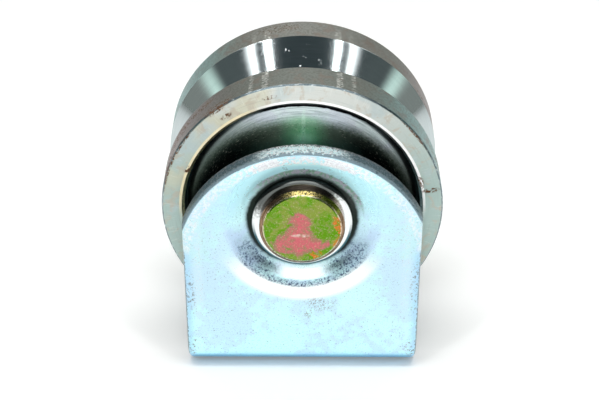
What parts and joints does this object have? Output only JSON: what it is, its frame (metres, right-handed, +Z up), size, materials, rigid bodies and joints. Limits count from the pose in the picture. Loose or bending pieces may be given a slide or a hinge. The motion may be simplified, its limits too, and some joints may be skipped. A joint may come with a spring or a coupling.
{
  "type": "v groove wheel",
  "caption": "V groove steel wheel on sealed ball bearings, turning on a headed axle between the dished cheeks of a folded steel bracket with a flat base to weld on.",
  "frame": {"origin": "middle of the bracket's underside, on the plane that the part stands on", "axes": "+Z up, away from the base; Y along the axle, with -Y the front; X across the bracket"},
  "size_m": [0.08, 0.0608, 0.0912],
  "materials": {
    "bracket_zinc": "pale blue passivated zinc, satin",
    "axle_yellow_zinc": "yellow passivated zinc with a green and pink sheen",
    "washer_zinc": "bright zinc",
    "sleeve_zinc": "bright zinc",
    "wheel_steel": "turned steel, bright in the groove, with light rust",
    "bearing_steel": "ground bearing steel",
    "ball_steel": "polished bearing steel",
    "cage_steel": "pressed steel strip",
    "seal_rubber": "moulded black nitrile",
    "retaining_ring_steel": "phosphated spring steel"
  },
  "bodies": {
    "mounting": {"bracket": "bracket_zinc", "axle": "axle_yellow_zinc", "front_washer": "washer_zinc", "rear_washer": "washer_zinc", "front_spacer": "sleeve_zinc", "rear_spacer": "sleeve_zinc", "front_inner_ring": "bearing_steel", "rear_inner_ring": "bearing_steel"},
    "wheel_unit": {"wheel": "wheel_steel", "front_outer_ring": "bearing_steel", "rear_outer_ring": "bearing_steel", "front_bearing_front_seal": "seal_rubber", "front_bearing_rear_seal": "seal_rubber", "rear_bearing_front_seal": "seal_rubber", "rear_bearing_rear_seal": "seal_rubber", "retaining_ring": "retaining_ring_steel"},
    "front_ball_train": {"front_ball_1": "ball_steel", "front_ball_2": "ball_steel", "front_ball_3": "ball_steel", "front_ball_4": "ball_steel", "front_ball_5": "ball_steel", "front_ball_6": "ball_steel", "front_ball_7": "ball_steel", "front_ball_8": "ball_steel", "front_ball_9": "ball_steel", "front_cage_front_half": "cage_steel", "front_cage_rear_half": "cage_steel", "front_cage_rivets": "cage_steel"},
    "rear_ball_train": {"rear_ball_1": "ball_steel", "rear_ball_2": "ball_steel", "rear_ball_3": "ball_steel", "rear_ball_4": "ball_steel", "rear_ball_5": "ball_steel", "rear_ball_6": "ball_steel", "rear_ball_7": "ball_steel", "rear_ball_8": "ball_steel", "rear_ball_9": "ball_steel", "rear_cage_front_half": "cage_steel", "rear_cage_rear_half": "cage_steel", "rear_cage_rivets": "cage_steel"}
  },
  "joints": [
    {"name": "wheel_spin", "type": "hinge", "parent": "mounting", "child": "wheel_unit", "pos_m": [0, 0, 0.0512], "axis": [0, 1, 0], "continuous": true},
    {"name": "front_ball_train_spin", "type": "hinge", "parent": "mounting", "child": "front_ball_train", "pos_m": [0, 0, 0.0512], "axis": [0, 1, 0], "continuous": true},
    {"name": "rear_ball_train_spin", "type": "hinge", "parent": "mounting", "child": "rear_ball_train", "pos_m": [0, 0, 0.0512], "axis": [0, 1, 0], "continuous": true}
  ],
  "couplings": [
    {"joint": "front_ball_train_spin", "follows": "wheel_spin", "ratio": 0.6024},
    {"joint": "rear_ball_train_spin", "follows": "wheel_spin", "ratio": 0.6024}
  ]
}
